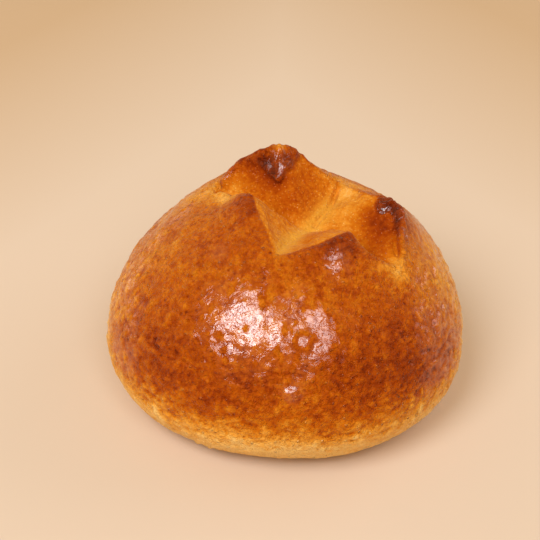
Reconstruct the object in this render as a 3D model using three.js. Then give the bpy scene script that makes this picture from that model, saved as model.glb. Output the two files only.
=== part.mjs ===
// A plain brioche bun: a low, slightly lopsided dome of glazed crust on a flat base. Two scissor cuts cross
// near its top. The four pointed flaps between them have risen and opened in the oven, and their cut faces
// slope down into a four-sided pit of paler crumb. The flap at the back is the tallest, and its tip of crust
// curls forward over the pit.
// The bun is one baked piece, so it is one solid. Lengths are millimetres, +Z is up, the base stands on Z = 0
// and the lower, wider side of the bun faces -Y.
import * as THREE from "three";
import { mergeVertices } from "three/addons/utils/BufferGeometryUtils.js";

// The plain dome, before the cuts. Every surface is given as a distance from the heart of the bun, a point
// on the vertical axis at the height of the widest girth.
const GIRTH_HEIGHT = 15.7;
const GIRTH_RADIUS = 54.0;
const DOME_RISE = 45.3; // from the girth to the top of the dome
const BELLY_DROP = 26.4; // how far the underside would hang below the girth if the tray did not flatten it
const DOME_POWER = 1.83; // 2 is an ellipse, and less leaves the shoulders a little flatter
const BELLY_POWER = 2.0;
const BASE_EDGE_ROUND = 2.0; // how softly the side turns into the flat base
const HEART = new THREE.Vector3(0, 0, GIRTH_HEIGHT);

// The girth is not a true circle: it swells three times around, by a share of the radius.
const GIRTH_SWELL = { times: 3, alongX: -0.003, alongY: -0.016 };
const SHOULDER_LEAN = 0.024; // fuller shoulders towards +X

// The deepest point of the pit, where the two cuts cross, and the four places where the cuts run out.
const PIT_BOTTOM = new THREE.Vector3(5.5, 1.2, 48.5);
const LEFT_END = new THREE.Vector3(-21.1, 15.5, 52.8);
const FRONT_END = new THREE.Vector3(-2.3, -20.2, 56.4);
const RIGHT_END = new THREE.Vector3(31.6, -14.4, 49.8);
const BACK_END = new THREE.Vector3(17.9, 18.0, 53.6);

// Each flap lies between two cut ends. Its two cut faces meet in a ridge that climbs from the bottom of the
// pit to the flap's tip, and ridgeRound is how blunt that ridge is.
const FLAPS = [
  { ends: [LEFT_END, BACK_END], tip: new THREE.Vector3(-2.2, 19.0, 66.6), ridgeRound: 2.5 },
  { ends: [LEFT_END, FRONT_END], tip: new THREE.Vector3(-9.1, 1.0, 62.1), ridgeRound: 1.5 },
  { ends: [FRONT_END, RIGHT_END], tip: new THREE.Vector3(18.2, -11.5, 58.9), ridgeRound: 2.0 },
  { ends: [RIGHT_END, BACK_END], tip: new THREE.Vector3(29.5, 3.5, 56.9), ridgeRound: 3.0 },
];
const VALLEY_ROUND = 2.5; // fillet where the faces of two flaps meet in a valley
const CUT_EDGE_ROUND = 0.8; // rounding of the crust at the edge of the cuts

// Where the crust has risen above the plain dome, or sunk below it. A swelling stands on the ray from the
// heart through the point \`through\`, and dies away over \`spread\`; \`blunt\` rounds its top.
const SWELLINGS = [
  { through: new THREE.Vector3(-2.2, 19.5, 66.3), height: 9.1, spread: 7.5, blunt: 0.4 }, // back flap
  { through: new THREE.Vector3(-12.0, 20.5, 60.0), height: 2.0, spread: 5.0, blunt: 0.6 }, // left of it
  { through: new THREE.Vector3(-10.0, 0.5, 61.0), height: 1.5, spread: 8.0, blunt: 0.5 }, // left flap
  { through: new THREE.Vector3(19.0, -12.5, 57.9), height: 1.8, spread: 8.0, blunt: 0.5 }, // front flap
  { through: new THREE.Vector3(30.5, 3.5, 56.2), height: 3.6, spread: 8.0, blunt: 0.7 }, // right flap
  { through: BACK_END, height: -1.6, spread: 7.0, blunt: 0.8 }, // saddle between the back and right flaps
  { through: LEFT_END, height: -1.2, spread: 5.0, blunt: 0.8 }, // dip where the left cut runs out
  { through: new THREE.Vector3(-24.0, 22.0, 50.9), height: 1.6, spread: 11.0, blunt: 1.0 }, // left shoulder
  { through: new THREE.Vector3(38.0, 12.0, 46.0), height: 1.2, spread: 8.0, blunt: 1.0 }, // right shoulder
  { through: new THREE.Vector3(30.0, -38.0, 8.0), height: 1.1, spread: 18.0, blunt: 1.0 }, // low front right
];

// The curled tip of crust that hangs forward over the top of the back flap's ridge.
const CURL = { through: new THREE.Vector3(-1.3, 13.5, 61.6), height: 2.2, spread: 3.2 };

// The surface is a finely divided icosahedron. Its points are drawn towards the top, where the cuts are.
const DIVISIONS = 20;
const DRAW_TO_TOP = 0.3;
const SAME_POINT = 1e-4; // corners of neighbouring triangles closer than this are one point
const STRAIGHT_UP = new THREE.Vector3(0, 0, 1);
const NEVER = 1000; // stands for a distance where a ray from the heart never meets a plane

// The smaller of two distances, with a fillet where they are within `round` of each other.
function blendMin(a, b, round) {
  const overlap = Math.max(round - Math.abs(a - b), 0) / round;
  return Math.min(a, b) - (overlap * overlap * round) / 4;
}

function blendMax(a, b, round) {
  return -blendMin(-a, -b, round);
}

function plainDome(direction) {
  const angle = GIRTH_SWELL.times * Math.atan2(direction.y, direction.x);
  const swell = GIRTH_SWELL.alongX * Math.cos(angle) + GIRTH_SWELL.alongY * Math.sin(angle);
  const across = Math.hypot(direction.x, direction.y) / (GIRTH_RADIUS * (1 + swell));
  const above = direction.z > 0;
  const power = above ? DOME_POWER : BELLY_POWER;
  const along = Math.abs(direction.z) / (above ? DOME_RISE : BELLY_DROP);
  const lean = 1 + SHOULDER_LEAN * direction.x * Math.max(direction.z, 0);
  return lean * (across ** power + along ** power) ** (-1 / power);
}

// How far a direction points away from a place on the surface, as a length across the surface there.
function gap(direction, place) {
  const arm = place.clone().sub(HEART);
  return direction.angleTo(arm) * arm.length();
}

function crust(direction) {
  let distance = plainDome(direction);
  for (const { through, height, spread, blunt } of SWELLINGS) {
    const away = gap(direction, through) / spread;
    distance += height * Math.exp(blunt - Math.hypot(away, blunt));
  }
  return distance;
}

// A cut face is the plane through the pit's bottom, a flap's tip and one of its cut ends.
function cutFace(tip, end) {
  const alongRidge = tip.clone().sub(PIT_BOTTOM);
  const alongValley = end.clone().sub(PIT_BOTTOM);
  const normal = alongRidge.cross(alongValley).normalize();
  if (normal.z < 0) normal.negate();
  return { normal, offset: normal.dot(PIT_BOTTOM.clone().sub(HEART)) };
}

function distanceToPlane(direction, { normal, offset }) {
  const facing = normal.dot(direction);
  return facing > 0 ? Math.min(offset / facing, NEVER) : NEVER;
}

const wedges = FLAPS.map(({ ends, tip, ridgeRound }) => ({
  faces: ends.map((end) => cutFace(tip, end)),
  ridgeRound,
}));

function pit(direction) {
  const ridges = wedges.map(({ faces, ridgeRound }) => {
    const [first, second] = faces.map((face) => distanceToPlane(direction, face));
    return blendMin(first, second, ridgeRound);
  });
  return ridges.reduce((deepest, ridge) => blendMax(deepest, ridge, VALLEY_ROUND));
}

function surface(direction) {
  const away = gap(direction, CURL.through) / CURL.spread;
  const curled = pit(direction) + CURL.height * Math.exp(-away * away);
  const baked = blendMin(crust(direction), curled, CUT_EDGE_ROUND);
  if (direction.z >= 0) return baked;
  return blendMin(baked, GIRTH_HEIGHT / -direction.z, BASE_EDGE_ROUND);
}

// A direction moved towards straight up by a share of its sine, which crowds the points around the top.
function drawnToTop(direction) {
  const fromTop = direction.angleTo(STRAIGHT_UP);
  const axis = new THREE.Vector3().crossVectors(direction, STRAIGHT_UP).normalize();
  return direction.clone().applyAxisAngle(axis, DRAW_TO_TOP * Math.sin(fromTop));
}

function bunGeometry() {
  const sphere = new THREE.IcosahedronGeometry(1, DIVISIONS);
  sphere.deleteAttribute("normal");
  sphere.deleteAttribute("uv");
  const geometry = mergeVertices(sphere, SAME_POINT);
  const points = geometry.getAttribute("position");
  for (let i = 0; i < points.count; i++) {
    const direction = drawnToTop(new THREE.Vector3().fromBufferAttribute(points, i).normalize());
    const point = direction.clone().multiplyScalar(surface(direction)).add(HEART);
    points.setXYZ(i, point.x, point.y, point.z);
  }
  geometry.computeBoundingBox();
  const middle = geometry.boundingBox.getCenter(new THREE.Vector3());
  geometry.translate(-middle.x, -middle.y, 0);
  geometry.computeVertexNormals();
  return geometry;
}

const crustMaterial = new THREE.MeshStandardMaterial({ color: 0xb5651d, roughness: 0.35, metalness: 0 });

const brioche = new THREE.Mesh(bunGeometry(), crustMaterial);
brioche.name = "brioche";

const root = new THREE.Group();
root.add(brioche);
export default root;
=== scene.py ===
import bpy
import numpy as np
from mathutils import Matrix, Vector, noise


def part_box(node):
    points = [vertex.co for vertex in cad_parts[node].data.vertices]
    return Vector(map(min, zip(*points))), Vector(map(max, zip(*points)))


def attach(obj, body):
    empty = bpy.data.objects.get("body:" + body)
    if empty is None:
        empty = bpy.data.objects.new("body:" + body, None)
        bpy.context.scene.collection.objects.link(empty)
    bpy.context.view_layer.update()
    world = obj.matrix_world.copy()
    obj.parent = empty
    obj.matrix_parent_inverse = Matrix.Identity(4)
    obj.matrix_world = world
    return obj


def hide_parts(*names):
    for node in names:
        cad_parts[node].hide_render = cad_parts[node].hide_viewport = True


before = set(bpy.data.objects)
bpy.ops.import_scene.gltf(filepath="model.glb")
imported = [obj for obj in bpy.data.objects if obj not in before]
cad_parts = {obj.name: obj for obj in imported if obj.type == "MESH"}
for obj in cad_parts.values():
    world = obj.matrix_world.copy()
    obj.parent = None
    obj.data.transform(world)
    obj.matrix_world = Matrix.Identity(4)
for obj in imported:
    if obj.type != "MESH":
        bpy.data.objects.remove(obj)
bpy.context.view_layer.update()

# ---------------------------------------------------------------------------------------------------------
# The bun.
# One ball of enriched dough, proved, washed with egg, snipped twice across the top with scissors and baked
# whole on a flat tray. Nothing is joined to it: crust, crumb, curled tips and foot are all the same dough.
# ---------------------------------------------------------------------------------------------------------
MM = 0.001

# The dome. It has spread low, with its widest girth a little above the tray. Places are in millimetres, and
# the surface is given as a distance from the heart of the bun, a point on its upright axis.
GIRTH_HEIGHT = 15.7
GIRTH_RADIUS = 54.0
DOME_RISE = 45.3
BELLY_DROP = 26.4
DOME_POWER = 1.83
BELLY_POWER = 2.0
GIRTH_SWELL = (3, -0.003, -0.016)  # times around, and the shares of its cosine and sine
SHOULDER_LEAN = 0.024
BASE_EDGE_ROUND = 2.0
BALL_CELLS = 127
DRAW_TO_CUTS = 0.38

NEVER = 1000.0  # stands for the distance where a ray from the heart meets nothing

heart = np.array([0.0, 0.0, GIRTH_HEIGHT])


def unit(arrows):
    return arrows / np.linalg.norm(arrows, axis=-1, keepdims=True)


def blend_min(a, b, rounding):
    """The smaller of two lengths, with a fillet where they come within `rounding` of each other."""
    overlap = np.maximum(rounding - np.abs(a - b), 0) / rounding
    return np.minimum(a, b) - overlap * overlap * rounding / 4


def blend_max(a, b, rounding):
    return -blend_min(-a, -b, rounding)


def ease(value, low, high):
    """Rises smoothly from 0 at `low` to 1 at `high`."""
    share = np.clip((value - low) / (high - low), 0, 1)
    return share * share * (3 - 2 * share)


def gap(directions, place):
    """How far each direction points away from a place on the bun, as a length across its surface there."""
    arm = np.array(place) - heart
    reach = np.linalg.norm(arm)
    return np.arccos(np.clip(directions @ (arm / reach), -1, 1)) * reach


def plain_dome(directions):
    times, along_x, along_y = GIRTH_SWELL
    angle = times * np.arctan2(directions[:, 1], directions[:, 0])
    girth = GIRTH_RADIUS * (1 + along_x * np.cos(angle) + along_y * np.sin(angle))
    across = np.hypot(directions[:, 0], directions[:, 1]) / girth
    above = directions[:, 2] > 0
    power = np.where(above, DOME_POWER, BELLY_POWER)
    along = np.abs(directions[:, 2]) / np.where(above, DOME_RISE, BELLY_DROP)
    lean = 1 + SHOULDER_LEAN * directions[:, 0] * np.maximum(directions[:, 2], 0)
    return lean * (across**power + along**power) ** (-1 / power)


# The cuts. Two snips cross near the top. The four flaps between them have risen and leaned open, so their
# cut faces slope down to a pit of crumb, and the crust has stretched into saddles where the snips run out.
PIT_BOTTOM = np.array([5.5, 1.2, 48.5])
LEFT_END = np.array([-21.1, 15.5, 52.8])
FRONT_END = np.array([-2.3, -20.2, 56.4])
RIGHT_END = np.array([31.6, -14.4, 49.8])
BACK_END = np.array([17.9, 18.0, 53.6])
FRONT_FLAP_SIDE = [(18.4, -12.5, 58.9), (22.9, -18.3, 54.9), (20.5, -6.0, 51.0)]  # places on its steep side
FLAPS = [  # two cut ends, tip, how blunt its ridge is
    (LEFT_END, BACK_END, (-2.2, 19.0, 66.6), 2.5),
    (LEFT_END, FRONT_END, (-9.1, 1.0, 62.1), 1.5),
    (FRONT_END, RIGHT_END, (18.2, -11.5, 58.9), 2.0),
    (RIGHT_END, BACK_END, (29.5, 3.5, 56.9), 3.0),
]
VALLEY_ROUND = 2.5
GRAZING = 0.05  # below this slant a ray from the heart counts as missing a cut face
CUT_EDGE_ROUND = 1.15
SOFT_EDGE_ROUND = 2.2
SOFT_EDGE_SPREAD = 8.0
SOFT_EDGE = (9.0, -15.0, 57.5)  # the front flap's edge is the bluntest
SWELLINGS = [  # where, height, spread, how blunt
    ((-2.2, 19.5, 66.3), 7.9, 7.5, 0.7),  # back flap
    ((4.0, 20.5, 63.0), 1.2, 3.5, 1.0),  # its shoulders
    ((-9.5, 20.5, 62.0), 1.1, 3.5, 1.0),
    ((-12.0, 20.5, 60.0), 2.0, 5.0, 0.6),  # left of it
    ((-10.0, 0.5, 61.0), 1.5, 8.0, 0.5),  # left flap
    ((19.0, -12.5, 57.9), 1.8, 8.0, 0.5),  # front flap
    ((30.5, 3.5, 56.2), 3.6, 8.0, 0.7),  # right flap
    (BACK_END, -1.6, 7.0, 0.8),  # saddle between the back and right flaps
    (LEFT_END, -1.2, 5.0, 0.8),  # dip where the left cut runs out
    ((-24.0, 22.0, 50.9), 1.6, 11.0, 1.0),  # left shoulder of the bun
    ((38.0, 12.0, 46.0), 1.2, 8.0, 1.0),  # right shoulder
    ((30.0, -38.0, 8.0), 1.1, 18.0, 1.0),  # low at the front right
    ((13.0, -17.5, 57.5), 1.9, 5.0, 1.2),  # the front flap's puffed skin
    ((19.0, -28.0, 50.0), -1.2, 6.0, 1.0),  # the hollow below it
    ((-12.5, -2.5, 60.5), 0.9, 4.0, 1.0),  # the left flap's rolled edge
    ((-18.5, 7.0, 57.5), -2.4, 3.5, 1.0),  # where it sinks to the cut
]
CRUMB_BULGES = [  # where a cut face bellies out or sinks in: place, height, spread
    ((1.0, 8.5, 54.8), 1.3, 4.5),  # belly of the back flap
    ((-15.0, 14.0, 56.5), 2.2, 4.0),  # its fat left end
    ((-7.5, 15.5, 59.0), -0.9, 3.5),  # hollows under its crest
    ((5.5, 15.5, 60.0), -0.8, 3.5),
    ((18.5, 4.5, 53.5), 2.4, 5.0),  # fat left side of the right flap
    ((19.0, 15.5, 53.5), 1.3, 4.0),
    ((24.5, 7.5, 55.5), 0.6, 3.5),
    ((28.0, -5.5, 52.8), -1.5, 4.0),  # hollow under its crust
    ((8.0, -9.0, 54.0), 1.8, 5.0),  # and its broad left side
    ((27.5, -22.5, 50.5), 12.0, 5.5),  # stretched crust where the right cut runs out
    ((-24.0, 17.5, 51.0), 2.5, 3.5),  # and the left cut
    ((-3.1, -4.6, 56.7), -0.4, 5.0),
    ((-16.0, 7.5, 57.5), -1.6, 4.0),
]


def crust_distance(directions):
    distance = plain_dome(directions)
    for place, height, spread, blunt in SWELLINGS:
        away = gap(directions, place) / spread
        distance = distance + height * np.exp(blunt - np.hypot(away, blunt))
    return distance


def cut_face_distance(directions, first, second, third):
    """Distance to the plane through three places on a cut face."""
    first, second, third = np.array(first), np.array(second), np.array(third)
    normal = np.cross(second - first, third - first)
    normal = unit(normal if normal[2] > 0 else -normal)
    slant = directions @ normal
    return np.where(slant > GRAZING, normal @ (first - heart) / np.maximum(slant, GRAZING), NEVER)


def pit_distance(directions):
    deepest = None
    for first_end, second_end, tip, ridge_round in FLAPS:
        first = cut_face_distance(directions, PIT_BOTTOM, tip, first_end)
        second = cut_face_distance(directions, PIT_BOTTOM, tip, second_end)
        ridge = blend_min(first, second, ridge_round)
        if first_end is FRONT_END:
            ridge = blend_min(ridge, cut_face_distance(directions, *FRONT_FLAP_SIDE), ridge_round)
        deepest = ridge if deepest is None else blend_max(deepest, ridge, VALLEY_ROUND)
    for place, height, spread in CRUMB_BULGES:
        deepest = deepest + height * np.exp(-((gap(directions, place) / spread) ** 2))
    return deepest


def dough_ball(cells):
    """Directions over a cube blown up into a ball, and the squares between them."""
    steps = np.tan(np.linspace(-1, 1, cells + 1) * np.pi / 4)
    a, b = np.meshgrid(steps, steps, indexing="ij")
    one = np.ones_like(a)
    sides = [(one, a, b), (-one, b, a), (b, one, a), (a, -one, b), (a, b, one), (b, a, -one)]
    corners = np.concatenate([np.stack(side, -1).reshape(-1, 3) for side in sides])
    number = np.arange((cells + 1) ** 2).reshape(cells + 1, cells + 1)
    square = np.stack([number[:-1, :-1], number[1:, :-1], number[1:, 1:], number[:-1, 1:]], -1)
    squares = np.concatenate([square.reshape(-1, 4) + side * number.size for side in range(6)])
    places, same = np.unique(np.round(unit(corners), 7), axis=0, return_inverse=True)
    return unit(places), same.reshape(-1)[squares]


def drawn_to_cuts(directions):
    """Crowds the points of the surface around the cuts, where the detail is finest."""
    middle = unit(PIT_BOTTOM - heart)
    along = directions @ middle
    sideways = directions - along[:, None] * middle
    sideways = sideways / np.maximum(np.linalg.norm(sideways, axis=1, keepdims=True), 1e-9)
    angle = np.arccos(np.clip(along, -1, 1))
    angle = angle - DRAW_TO_CUTS * np.sin(angle)
    return np.cos(angle)[:, None] * middle + np.sin(angle)[:, None] * sideways


def facing(points, squares):
    """The outward direction at each point, from the squares around it."""
    diagonals = np.cross(
        points[squares[:, 2]] - points[squares[:, 0]], points[squares[:, 3]] - points[squares[:, 1]]
    )
    total = np.zeros_like(points)
    for corner in range(4):
        np.add.at(total, squares[:, corner], diagonals)
    return unit(total)


directions, squares = dough_ball(BALL_CELLS)
directions = drawn_to_cuts(directions)
crust_reach = crust_distance(directions)
pit_reach = pit_distance(directions)
soft_edge = np.exp(-((gap(directions, SOFT_EDGE) / SOFT_EDGE_SPREAD) ** 2))
reach = blend_min(crust_reach, pit_reach, CUT_EDGE_ROUND + SOFT_EDGE_ROUND * soft_edge)
down = np.maximum(-directions[:, 2], 1e-6)
tray_reach = np.where(directions[:, 2] < 0, GIRTH_HEIGHT / down, NEVER)
turn_round = np.arctan2(directions[:, 1], directions[:, 0])
foot_round = BASE_EDGE_ROUND + 2.5 * (0.5 + 0.5 * np.sin(3 * turn_round + 1.0))  # softer three times around
reach = blend_min(reach, tray_reach, foot_round)
bun = heart + directions * reach[:, None]
crumb = ease(crust_reach - pit_reach, 0.1, 0.9)

# The skin. It has shrunk as it browned: it is wrinkled and blistered all over, most at the dark tips. The
# skin at the tips of the back and right flaps curls over the crumb, and cut edges have a thin dried lip.
BEAK_TIP = np.array([-1.2, 12.9, 60.0])
BEAK_UP = unit(np.array([-0.1, 0.70, 0.71]))
BEAK_OUT = unit(np.array([0.0, -0.75, 0.66]))
BEAK_LEFT = (0.93, 1.37)  # slope of its left side, and what turns that into a distance from the side
BEAK_RIGHT = (0.69, 1.21)
BEAK_LENGTH = 12.0
BEAK_DEPTH = 4.0  # only skin this near the beak's own face belongs to it
BACK_LIP = [
    (-19.6, 14.8, 54.2),
    (-19.3, 16.7, 55.2),
    (-12.7, 20.0, 60.8),
    (-9.0, 18.8, 62.9),
    (-5.7, 16.4, 61.6),
    (-1.6, 13.1, 59.6),
]
BACK_LIP_RIGHT = [(-1.6, 13.1, 59.6), (2.0, 17.3, 62.8), (3.4, 19.1, 63.4)]
RIGHT_LIP = [
    (24.0, 9.4, 55.3),
    (28.2, 5.6, 56.4),
    (32.4, 3.0, 55.2),
    (34.0, 0.0, 53.8),
    (33.7, -3.8, 53.3),
    (33.0, -8.5, 52.3),
    (33.5, -11.5, 51.0),
]
RIGHT_TUCK = [(32.6, -0.5, 54.3), (32.0, -4.0, 53.4), (31.4, -8.5, 52.4), (32.0, -12.0, 51.0)]
LEFT_LIP = [
    (-16.8, 3.5, 59.5),
    (-13.2, 1.0, 61.2),
    (-9.2, -0.3, 62.0),
    (-6.3, -5.3, 59.7),
    (-4.6, -13.1, 58.3),
    (-3.1, -18.5, 57.1),
]
BACK_RIDGE = [
    (13.6, 22.0, 55.0),
    (14.5, 18.5, 54.8),
    (14.3, 15.3, 54.3),
    (12.2, 10.5, 52.7),
    (9.0, 6.0, 50.8),
]
BACK_CREASE = [
    (14.9, 22.5, 54.3),
    (15.8, 18.5, 53.8),
    (15.6, 15.3, 53.3),
    (13.4, 9.8, 51.7),
    (8.8, 3.5, 49.6),
]
FRONT_CREASE = [(8.8, 3.5, 49.6), (3.5, -5.0, 52.0), (-0.5, -13.0, 54.5), (-2.8, -19.0, 56.5)]
LEFT_HOOK = [(-20.4, 17.2, 54.8), (-19.9, 15.2, 55.0), (-19.5, 13.8, 55.3)]
FOLDS = [  # line, height, width
    (BACK_LIP, 1.3, 1.0),
    (BACK_LIP_RIGHT, 0.8, 0.9),
    (RIGHT_LIP, 1.1, 1.2),
    (RIGHT_TUCK, -1.8, 0.8),
    (LEFT_LIP, 0.35, 0.8),
    (BACK_RIDGE, 0.7, 0.6),
    (BACK_CREASE, -1.3, 0.8),
    (FRONT_CREASE, -0.4, 0.6),
    (LEFT_HOOK, -1.8, 1.0),
]
KNOBS = [  # bubbles and lumps in the wrinkled skin of the tips: place, width, height
    ((-2.6, 19.4, 66.0), 1.5, 0.5),
    ((-0.8, 16.9, 62.8), 1.5, 1.4),
    ((-4.2, 16.6, 62.4), 1.3, -0.8),
    ((1.8, 17.2, 62.8), 1.0, -0.9),
    ((-1.2, 14.2, 60.6), 1.1, 0.9),
    ((-6.5, 19.5, 64.5), 1.3, 0.7),
    ((-7.6, 18.8, 63.6), 0.9, 0.6),
    ((28.5, 3.2, 56.2), 1.3, 0.7),
    ((31.0, 3.5, 56.0), 1.0, 0.6),
    ((29.0, 1.2, 55.9), 0.9, 0.4),
    ((39.4, -26.3, 37.9), 1.3, 0.4),
    ((21.7, -19.5, 54.7), 1.6, 0.4),
    ((33.5, -15.0, 50.5), 1.4, 0.5),
    ((-18.0, -40.0, 34.0), 1.1, 0.3),
    ((1.0, -49.6, 31.0), 1.9, 1.0),
    ((-19.8, 15.1, 55.0), 1.4, -2.6),  # the hole where the left cut runs out
]
RING_BLISTER = ((4.5, -41.0, 42.7), 2.3, 0.5, 0.35)  # middle, ring's radius, width of its wall, height
BLISTERS = 480  # strewn over the whole bun; those that fall on crumb or underneath don't rise
BLISTER_SEED = 20
PUCKERS = 9  # folds round the end of each cut
PUCKER_RING = 3.5
FRONT_LIFT = 2.6  # how far the foot has curled up off the tray in front
TORN_FLAKES = [(-2.13, 0.028), (-2.04, 0.022), (-0.93, 0.03)]  # turn about the axis and spread, in radians


def swirl(places, size, shift=0.0):
    """A random height at each place, about -1 to 1, which changes over `size` millimetres."""
    spots = places / size + shift
    return np.array([noise.noise(Vector(spot), noise_basis="PERLIN_ORIGINAL") for spot in spots.tolist()])


def off_line(places, line):
    """How far each place is from a line of points."""
    nearest = np.full(len(places), 1e3)
    for start, end in zip(np.array(line[:-1]), np.array(line[1:])):
        along = end - start
        share = np.clip((places - start) @ along / (along @ along), 0, 1)
        nearest = np.minimum(nearest, np.linalg.norm(places - start - share[:, None] * along, axis=1))
    return nearest


def near(places, spot, spread):
    return np.exp(-((np.linalg.norm(places - np.array(spot), axis=1) / spread) ** 2))


# The curled beak of the back flap: a three-cornered tongue of skin lying over the top of the crumb.
from_tip = bun - BEAK_TIP
up_beak = from_tip @ BEAK_UP
inside_left = (from_tip[:, 0] + BEAK_LEFT[0] * up_beak) / BEAK_LEFT[1]
inside_right = (BEAK_RIGHT[0] * up_beak - from_tip[:, 0]) / BEAK_RIGHT[1]
tongue = ease(np.minimum(inside_left, inside_right), -0.1, 0.6)
tongue = tongue * (up_beak < BEAK_LENGTH) * (np.abs(from_tip @ BEAK_OUT) < BEAK_DEPTH)
bun = bun + BEAK_OUT * (tongue * (0.5 + 1.2 * np.exp(-((up_beak / 4.5) ** 2))))[:, None]
curl_edge = ease(bun[:, 1] + 0.4 * swirl(bun, 1.6, 6.6), 0.1, 0.9) * ease(bun[:, 2], 50.0, 53.0)
right_curl = curl_edge * near(bun, (30.2, 3.4, 56.2), 4.6)
crumb = crumb * (1 - tongue) * (1 - ease(right_curl, 0.35, 0.6))
crest = np.exp(-((np.minimum(off_line(bun, BACK_LIP[1:]), off_line(bun, BACK_LIP_RIGHT)) / 1.3) ** 2))
crumb = crumb * (1 - crest)

normals = facing(bun, squares)
tips = (
    near(bun, (-1.5, 17.0, 63.5), 6.5)
    + near(bun, (30.5, 2.5, 56.0), 4.5)
    + 0.6 * near(bun, (34.0, -6.0, 52.0), 3.5)
    + 0.45 * near(bun, (-9.5, -1.0, 61.5), 4.5)
    + 0.35 * near(bun, (17.5, -14.0, 58.5), 4.5)
)
tips = np.clip(tips, 0, 1)
skin = 1 - crumb

flattened = bun * np.array([1.0, 1.0, 1.7])
belt = ease(bun[:, 2], 46.0, 34.0) * ease(bun[:, 2], 10.0, 20.0)
lift = 0.35 * swirl(bun, 17.0, 3.1)
lift += skin * 0.30 * swirl(bun, 6.5, 11.7)
lumps = (0.20 + 0.30 * belt) * swirl(flattened, 2.4, 5.3)
lumps -= (0.12 + 0.16 * belt) * np.maximum(1 - np.abs(swirl(flattened, 2.9, 8.3)) * 9, 0)
glazed_zone = np.clip(near(bun, (-14.0, -36.0, 45.0), 15.0) + near(bun, (6.0, -39.0, 43.0), 12.0), 0, 1)
lumps = lumps * (1 - 0.62 * glazed_zone)
lift += skin * lumps
lift += skin * tips * 0.7 * (1 - np.abs(swirl(bun, 2.1, 7.7)) * 3.2)
lift += skin * tips * 0.3 * swirl(bun, 1.1, 4.7)
lift += crumb * 0.16 * swirl(bun, 1.2, 2.9) + crumb * 0.50 * swirl(bun, 4.5, 9.2)
wrinkled = near(bun, (29.5, -3.0, 54.0), 6.5) * crumb
lift += wrinkled * 0.5 * swirl(bun * np.array([1.0, 0.5, 1.0]), 1.6, 3.8)
lift += 1.0 * right_curl
for line, height, width in FOLDS:
    lift += height * np.exp(-((off_line(bun, line) / width) ** 2))
for spot, width, height in KNOBS:
    lift += height * near(bun, spot, width)

# Blisters: small bubbles under the glaze, drawn out down the sides.
dice = np.random.default_rng(BLISTER_SEED)
blisters = np.zeros(len(bun))
for _ in range(BLISTERS):
    turn, height = dice.uniform(0, 2 * np.pi), dice.uniform(-0.12, 0.8)
    flat = np.sqrt(1 - height * height)
    middle = np.array([flat * np.cos(turn), flat * np.sin(turn), height])
    spot = heart + middle * crust_distance(middle[None])[0]
    width, tall = dice.uniform(0.5, 1.0), dice.uniform(0.12, 0.34)
    offset = bun - spot
    climb = unit(np.array([0.0, 0.0, 1.0]) - middle * height)
    rise = offset @ climb
    aside = np.sum(offset * offset, axis=1) - rise * rise
    blister = np.exp(-(aside + (rise / dice.uniform(1.2, 2.4)) ** 2) / width**2)
    blisters = np.maximum(blisters, blister * tall)
spot, ring, width, tall = RING_BLISTER
off_ring = np.linalg.norm(bun - np.array(spot), axis=1) - ring
blisters = np.maximum(blisters, np.exp(-((off_ring / width) ** 2)) * tall)
lift += skin * blisters

# Puckers: short folds that run into the ends of the cuts.
for end in (LEFT_END, FRONT_END, RIGHT_END, BACK_END):
    offset = bun - end
    turn = np.arctan2(offset[:, 1], offset[:, 0])
    fold = np.sin(PUCKERS * turn + 3 * swirl(bun, 4.0, 1.3))
    ringed = np.exp(-(((np.linalg.norm(offset, axis=1) - PUCKER_RING) / 2.2) ** 2))
    lift += (0.06 if end is FRONT_END else 0.20) * fold * ringed

underside = ease(normals[:, 2], -0.6, -0.9)
bun = bun + normals * (lift * (1 - underside))[:, None]

# The foot: a thin crisp edge where the dough met the tray, with three torn flakes, lifted a little in front.
around = np.arctan2(bun[:, 1], bun[:, 0])
spread_out = np.hypot(bun[:, 0], bun[:, 1])
rim = np.exp(-(((bun[:, 2] - 2.2) / 1.5) ** 2)) * ease(spread_out, 38.0, 44.0)
lifted = np.exp(-(((around + 1.45) / 0.75) ** 2)) * ease(spread_out, 34.0, 42.0) * ease(bun[:, 2], 6.0, 2.0)
bun[:, 2] += FRONT_LIFT * lifted
outwards = np.stack([np.cos(around), np.sin(around), np.zeros(len(bun))], -1)
ruffle = 0.5 + 0.5 * swirl(outwards * 50, 5.0, 4.4) + 0.4 * swirl(outwards * 50, 1.9, 8.1)
for turn, spread in TORN_FLAKES:
    ruffle += 0.9 * np.exp(-(((around - turn) / spread) ** 2))
bun = bun + outwards * (rim * ruffle + 1.3 * lifted)[:, None]
bun[:, 2] = np.maximum(bun[:, 2], 0.0)

# The mesh. The plain bun's box is moved to stand where the solid's box stands.
low_corner, high_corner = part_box("brioche")
plain = heart + directions * reach[:, None]
to_frame = np.array((low_corner + high_corner) / 2) / MM - (plain.min(0) + plain.max(0)) / 2
to_frame[2] = low_corner.z / MM
heart_place = Vector(((heart + to_frame) * MM).tolist())

mesh = bpy.data.meshes.new("baked_bun")
mesh.from_pydata(((bun + to_frame) * MM).tolist(), [], squares.tolist())
mesh.polygons.foreach_set("use_smooth", [True] * len(mesh.polygons))

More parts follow.
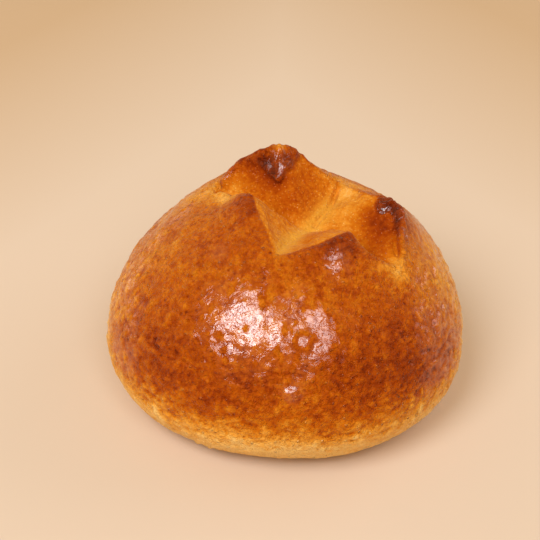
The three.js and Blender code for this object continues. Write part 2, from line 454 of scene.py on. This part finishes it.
# How brown the surface is, from 0, pale crumb, to 1, scorched black, which this bun stops short of.
# Besides the real browning it carries painted shade in the dips, grooves and the hole, and paler paint for
# sheen on the flanks.
DARKEST = 0.88
height = bun[:, 2]
flank = ease(np.abs(bun[:, 0] + 2.0), 32.0, 47.0) * ease(height, 10.0, 22.0)
# The dips between the lumps are painted browner and their tops paler: painted shade and light, on top of the
# real browning.
browning = 0.56 + 0.09 * ease(height, 50, 34) + 0.0006 * bun[:, 0] - 0.35 * lumps
browning -= blisters * (0.25 + 0.6 * ease(height, 30, 14) + 0.4 * flank)
browning -= 0.64 * ease(height + 3 * swirl(bun, 9.0, 6.2), 27, 7)
browning += 0.06 * swirl(bun, 11.0, 1.9)
# Most of these are real browning; the marked ones are painted shade or painted sheen.
SCORCHES_AND_SHADE = [  # place, spread, how much browner
    ((-1.5, 16.0, 62.5), 4.5, 0.15),
    # darker in the hole where the left cut runs out: painted shade
    ((-19.7, 15.0, 54.4), 1.3, 0.35),
    ((-1.6, 19.6, 66.8), 1.9, -0.40),  # the pale knob at the very top
    ((-5.6, 17.5, 62.6), 1.5, 0.16),
    ((1.4, 17.8, 63.5), 1.5, 0.12),
    ((-2.2, 20.5, 65.0), 7.0, 0.10),
    ((-10.0, -2.0, 61.0), 6.0, 0.20),
    ((14.5, -16.5, 58.0), 6.5, 0.26),
    ((30.0, 2.2, 56.2), 6.0, 0.40),
    ((34.5, -6.0, 52.5), 3.0, 0.10),
    ((30.0, -36.0, 37.0), 14.0, 0.05),
    ((-26.0, 18.0, 48.5), 12.0, -0.22),
    (LEFT_END, 5.0, -0.20),
    ((-16.5, 8.5, 57.5), 5.0, -0.36),
    ((-16.5, 3.5, 59.0), 2.6, -0.12),
    ((1.0, -50.0, 20.0), 12.0, -0.12),
    (FRONT_END, 3.5, -0.12),
    ((32.0, -18.5, 49.5), 4.0, -0.30),
    ((27.0, -19.0, 52.0), 3.0, -0.15),
    ((19.5, 20.5, 53.0), 8.0, -0.32),
    # paler low on both flanks: partly paler crust, partly painted sheen and side light
    ((52.0, 0.0, 30.0), 22.0, -0.42),
    ((-52.0, 0.0, 30.0), 20.0, -0.27),
    ((-36.0, -30.0, 33.0), 15.0, 0.04),
    ((-14.0, -18.0, 56.0), 12.0, 0.06),
]
for spot, spread, more in SCORCHES_AND_SHADE:
    browning += more * near(bun, spot, spread)
toast_and_shade = np.full(len(bun), 0.40)
TOASTED = [  # the same for the crumb
    ((-7.0, 15.5, 60.0), 6.5, 0.32),  # back flap under its crest
    ((5.0, 15.5, 60.0), 5.5, 0.15),
    ((2.0, 7.4, 54.2), 6.0, 0.20),
    ((10.0, 13.0, 55.5), 5.0, 0.08),
    ((-15.0, 13.0, 55.5), 4.5, -0.10),
    ((18.5, 5.0, 53.0), 6.0, -0.09),  # right flap
    ((18.5, 14.0, 53.5), 4.0, -0.22),
    ((28.0, -2.0, 54.2), 6.0, 0.40),
    ((24.0, 1.5, 54.5), 3.5, 0.12),
    (PIT_BOTTOM, 5.0, -0.07),
    ((25.0, -12.0, 52.0), 6.5, 0.24),
    ((31.0, -14.0, 50.0), 4.0, -0.12),
    ((9.0, -9.0, 54.5), 5.0, 0.06),
]
for spot, spread, more in TOASTED:
    toast_and_shade += more * near(bun, spot, spread)
valley = np.minimum(off_line(bun, BACK_CREASE[3:]), off_line(bun, FRONT_CREASE))
toast_and_shade -= 0.10 * np.exp(-((valley / 2.2) ** 2))
browning += 0.22 * np.exp(-((off_line(bun, BACK_LIP[1:]) / 2.2) ** 2))
toast_and_shade += 0.16 * np.exp(-((off_line(bun, BACK_LIP[1:]) / 3.0) ** 2))
# Darker along the hook, the tuck inside the right lip and the back crease, on crust and crumb alike: painted
# shade in the grooves.
for line, more in ((LEFT_HOOK, 0.30), (RIGHT_TUCK, 0.25), (BACK_CREASE[1:4], 0.12)):
    painted_crease_shade = more * np.exp(-((off_line(bun, line) / 0.9) ** 2))
    browning += painted_crease_shade
    toast_and_shade += painted_crease_shade
browning = np.clip(browning * skin + toast_and_shade * crumb, 0, DARKEST)
dry_foot = ease(height + 3 * swirl(bun, 6.0, 3.3) + 0.08 * bun[:, 0], 17, 7)
dryness = np.clip(np.maximum(crumb, dry_foot), 0, 1)
glaze = 0.03 + 0.25 * swirl(bun, 5.0, 8.8)
glaze += 0.60 * flank
glaze += 0.80 * near(bun, (-34.0, 14.0, 44.0), 14.0) + 0.7 * near(bun, (41.0, 8.0, 42.0), 12.0)
glaze -= near(bun, (19.5, 23.0, 51.0), 9.0)
for spot, spread in (
    ((-14.0, -36.0, 45.0), 13.0),
    ((6.0, -39.0, 43.0), 11.0),
    ((14.5, -22.5, 55.8), 4.5),
    ((1.0, -49.2, 31.7), 3.0),
    ((-19.0, -16.0, 54.5), 3.0),
):
    glaze += 0.8 * near(bun, spot, spread)
glaze = glaze + 0.28 * tips + 0.3 * crest
glaze = glaze + 0.7 * near(bun, (-1.0, 14.2, 61.0), 2.2) + 0.6 * near(bun, (28.8, 2.0, 55.8), 2.0)
glaze = np.clip(glaze - 4.0 * blisters, 0, 1) * (1 - dryness)
rawness = crumb * np.exp(-((valley / 3.2) ** 2)) * ease(height, 60.0, 54.0)
surface = {"browning": browning, "crumb": crumb, "dryness": dryness, "glaze": glaze, "rawness": rawness}
for name, values in surface.items():
    mesh.attributes.new(name, "FLOAT", "POINT").data.foreach_set("value", values)

brioche = bpy.data.objects.new("baked_bun", mesh)
bpy.context.scene.collection.objects.link(brioche)
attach(brioche, "root")
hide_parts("brioche")


# The bake: egg wash over browned crust, matte pale dough near the tray, and open crumb in the cuts.
class Tone:
    """What a node gives. Arithmetic on it adds Math nodes, and `node` adds any other node beside it."""

    def __init__(self, tree, socket=None):
        self.tree = tree
        self.socket = socket

    def node(self, kind, settings=None, sockets=None, output=0):
        made = self.tree.nodes.new(kind)
        for name, value in (settings or {}).items():
            if name == "stops":
                ramp = made.color_ramp
                while len(ramp.elements) < len(value):
                    ramp.elements.new(0.5)
                for element, (position, colour) in zip(ramp.elements, value):
                    element.position = position
                    element.color = colour
            else:
                setattr(made, name, value)
        for name, value in (sockets or {}).items():
            if isinstance(value, Tone):
                self.tree.links.new(value.socket, made.inputs[name])
            else:
                made.inputs[name].default_value = value
        return Tone(self.tree, made.outputs[output] if made.outputs else None)

    def math(self, operation, first, second=0.0):
        return self.node("ShaderNodeMath", {"operation": operation}, {0: first, 1: second})

    def __add__(self, other):
        return self.math("ADD", self, other)

    def __sub__(self, other):
        return self.math("SUBTRACT", self, other)

    def __rsub__(self, other):
        return self.math("SUBTRACT", other, self)

    def __mul__(self, other):
        return self.math("MULTIPLY", self, other)

    __radd__ = __add__
    __rmul__ = __mul__


def linear(red, green, blue):
    """A colour given as 0 to 255 on screen, as the light values that shaders take."""
    shares = [part / 255 for part in (red, green, blue)]
    light = [part / 12.92 if part < 11 / 255 else ((part + 0.055) / 1.055) ** 2.4 for part in shares]
    return (*light, 1.0)


def finish_material(name):
    material = bpy.data.materials.new(name)
    material.use_nodes = True
    material.node_tree.nodes.clear()
    return material, Tone(material.node_tree)


bake, paint = finish_material("baked_dough")
crust_place = paint.node("ShaderNodeTexCoord", output=3)


def painted(name):
    return paint.node("ShaderNodeAttribute", {"attribute_name": name}, output=2)


def grain(size, detail=2.0, roughness=0.5, swirls=0.0):
    """Random values around 0.5 that change over `size` millimetres."""
    return paint.node(
        "ShaderNodeTexNoise",
        {},
        {
            "Vector": crust_place,
            "Scale": 1 / (size * MM),
            "Detail": detail,
            "Roughness": roughness,
            "Distortion": swirls,
        },
    )


brown_and_shade, cut, dry = (painted(name) for name in ("browning", "crumb", "dryness"))
mottle = grain(5.0, 3.0)
fine = grain(1.1, 2.0)
pores = grain(0.45, 1.0)
flecks = grain(2.2, 2.0)


def specks(size, sharpness):
    """Small round marks scattered about `size` millimetres apart: 1 at their middles, 0 between them."""
    away = paint.node(
        "ShaderNodeTexVoronoi", {}, {"Vector": crust_place, "Scale": 1 / (size * MM)}, output=0
    )
    return paint.math("MAXIMUM", 1 - away * sharpness, 0.0)


droplets = specks(2.6, 5.0) * (1 - cut * 0.8)
beads = specks(0.95, 2.6)
pits = specks(3.7, 6.0) * (1 - cut)
blotches = paint.math("MINIMUM", paint.math("MAXIMUM", (grain(4.4, 4.0, 0.62) - 0.53) * 9.0, 0.0), 1.0)
tone = brown_and_shade + blotches * (1 - cut) * (1 - dry) * 0.07
tone = tone + (mottle - 0.5) * 0.20 + (flecks - 0.5) * 0.20 + (fine - 0.5) * 0.22
# The pits are painted darker: partly darker crust, partly painted shade in the hollows.
tone = tone - droplets * (0.08 + dry * 0.14) - beads * (dry * 0.06 + cut * 0.14) + pits * 0.20
colour = tone.node(
    "ShaderNodeValToRGB",
    {
        "stops": [
            (0.0, linear(246, 198, 116)),
            (0.15, linear(241, 176, 80)),
            (0.30, linear(226, 147, 44)),
            (0.45, linear(203, 112, 13)),
            (0.60, linear(178, 81, 3)),
            (0.75, linear(150, 57, 2)),
            (0.90, linear(110, 34, 4)),
            (1.0, linear(74, 22, 8)),
        ]
    },
    {"Fac": tone},
)
raw_crumb = linear(226, 172, 62)
colour = colour.node(
    "ShaderNodeMix", {"data_type": "RGBA"}, {0: painted("rawness") * 0.6, 6: colour, 7: raw_crumb}, output=2
)
gloss = 0.30 + (fine - 0.5) * 0.16 + dry * 0.45
crackle = grain(1.7, 2.5, 0.6)
cracks = paint.math("MINIMUM", paint.math("ABSOLUTE", crackle - 0.5) * 14.0, 1.0)
relief = cracks * (1 - cut) * 0.5 + pores * 0.8 + fine * 1.2 + droplets * 1.8 - pits * 1.4
relief = relief + beads * (0.2 + cut * 0.25)
bumped = relief.node("ShaderNodeBump", {}, {"Height": relief, "Strength": 1.0, "Distance": 0.36 * MM})
crust = bumped.node(
    "ShaderNodeBsdfPrincipled",
    {},
    {
        "Base Color": colour,
        "Roughness": gloss,
        "Normal": bumped,
        "IOR": 1.2,
        "Specular Tint": (1.0, 0.74, 0.45, 1.0),
        "Sheen Weight": 0.16,
        "Sheen Roughness": 0.25,
        "Sheen Tint": (1.0, 0.66, 0.48, 1.0),
    },
)
threads = paint.math("ABSOLUTE", grain(3.2, 3.0, 0.55, 1.2) - 0.5)
wash_relief = threads * 2.0 + pores * 0.12
skinned = relief.node("ShaderNodeBump", {}, {"Height": wash_relief, "Strength": 1.0, "Distance": 0.13 * MM})
egg_wash = skinned.node(
    "ShaderNodeBsdfPrincipled", {}, {"Base Color": colour, "Roughness": 0.09, "Normal": skinned, "IOR": 1.95}
)
washed = paint.math("MAXIMUM", painted("glaze") * 1.5 - 0.35, 0.0)
glazed = paint.math("MINIMUM", washed * (cracks * 0.8 + 0.35), 1.0)
crust_and_wash = egg_wash.node("ShaderNodeMixShader", {}, {0: glazed, 1: crust, 2: egg_wash})
wet = bumped.node(
    "ShaderNodeBsdfPrincipled", {}, {"Base Color": colour, "Roughness": 0.16, "Normal": bumped, "IOR": 1.5}
)
wet_beads = paint.math("MINIMUM", droplets * 2.5 + beads * (0.08 + cut * 0.6), 1.0)
skin_and_beads = wet.node("ShaderNodeMixShader", {}, {0: wet_beads * (1 - glazed), 1: crust_and_wash, 2: wet})
skin_and_beads.node("ShaderNodeOutputMaterial", {}, {"Surface": skin_and_beads})
mesh.materials.append(bake)

# ---------------------------------------------------------------------------------------------------------
# The table.
# A plain pale warm sheet that the bun stands on, painted a little darker towards the back and the sides:
# painted shade where the light falls off.
# ---------------------------------------------------------------------------------------------------------
TABLE_REACH = 4.0
DARKENS_FROM = 0.17  # metres behind the bun
DARKENS_BY = 6.0  # share per metre
table_mesh = bpy.data.meshes.new("table")
table_mesh.from_pydata(
    [(x * TABLE_REACH, y * TABLE_REACH, low_corner.z) for x, y in ((-1, -1), (1, -1), (1, 1), (-1, 1))],
    [],
    [(0, 1, 2, 3)],
)
table = bpy.data.objects.new("table", table_mesh)
bpy.context.scene.collection.objects.link(table)
sheet, cloth = finish_material("warm_sheet")
sheet_place = cloth.node("ShaderNodeTexCoord", output=3)
backwards_along = sheet_place.node("ShaderNodeSeparateXYZ", {}, {0: sheet_place}, output=1)
sideways_along = sheet_place.node("ShaderNodeSeparateXYZ", {}, {0: sheet_place}, output=0)
# The darkening towards the back and the sides is painted shade, where the light falls off away from the
# lamps.
away = (backwards_along + cloth.math("ABSOLUTE", sideways_along) * 1.2 - DARKENS_FROM) * DARKENS_BY
tint = cloth.node(
    "ShaderNodeMix",
    {"data_type": "RGBA"},
    {0: away, 6: linear(219, 200, 180), 7: linear(203, 174, 140)},
    output=2,
)
matt = cloth.node("ShaderNodeBsdfPrincipled", {}, {"Base Color": tint, "Roughness": 0.9})
cloth.node("ShaderNodeOutputMaterial", {}, {"Surface": matt})
table_mesh.materials.append(sheet)

# ---------------------------------------------------------------------------------------------------------
# The light.
# A large soft window to the left in front and a smaller one to its right, a pale card behind on each side,
# and a warm room all round.
# ---------------------------------------------------------------------------------------------------------
LAMPS = [  # name, direction, distance, width, height, power
    ("window", (-0.40, -0.47, 0.79), 1.5, 0.82, 0.82, 13.5),
    ("second_window", (0.20, -0.63, 0.75), 1.5, 0.68, 0.68, 5.0),
    ("left_card", (-0.77, 0.60, 0.26), 1.1, 1.0, 0.5, 1.6),
    ("right_card", (0.80, 0.36, 0.48), 1.1, 1.0, 0.5, 2.8),
]
for name, towards, distance, width, tall, power in LAMPS:
    lamp_data = bpy.data.lights.new(name, "AREA")
    lamp_data.shape = "ELLIPSE" if width == tall else "RECTANGLE"
    lamp_data.size = width
    lamp_data.size_y = tall
    lamp_data.energy = power
    lamp_data.color = (0.97, 0.97, 1.01)
    lamp = bpy.data.objects.new(name, lamp_data)
    bpy.context.scene.collection.objects.link(lamp)
    arrow = Vector(towards).normalized()
    lamp.location = heart_place + arrow * distance
    lamp.rotation_euler = arrow.to_track_quat("Z", "Y").to_euler()

world = bpy.data.worlds.new("room")
bpy.context.scene.world = world
world.use_nodes = True
world.node_tree.nodes["Background"].inputs["Color"].default_value = (1.0, 0.75, 0.40, 1.0)
world.node_tree.nodes["Background"].inputs["Strength"].default_value = 0.52
bpy.context.scene.view_settings.view_transform = "Standard"

# ---------------------------------------------------------------------------------------------------------
# The camera.
# It looks down on the front of the bun, from a little to the left of its upright axis.
# ---------------------------------------------------------------------------------------------------------
LOOK_DOWN = np.radians(38.0)
CAMERA_DISTANCE = 0.450
AIM = Vector((-4.55 * MM, 0.0, 19.8 * MM))
camera_data = bpy.data.cameras.new("camera")
camera_data.lens = 100.0
camera_data.sensor_width = 36.0
camera_data.clip_start = 0.01
camera = bpy.data.objects.new("camera", camera_data)
bpy.context.scene.collection.objects.link(camera)
backwards = Vector((0.0, -np.cos(LOOK_DOWN), np.sin(LOOK_DOWN)))
camera.location = heart_place + AIM + backwards * CAMERA_DISTANCE
camera.rotation_euler = backwards.to_track_quat("Z", "Y").to_euler()
bpy.context.scene.camera = camera
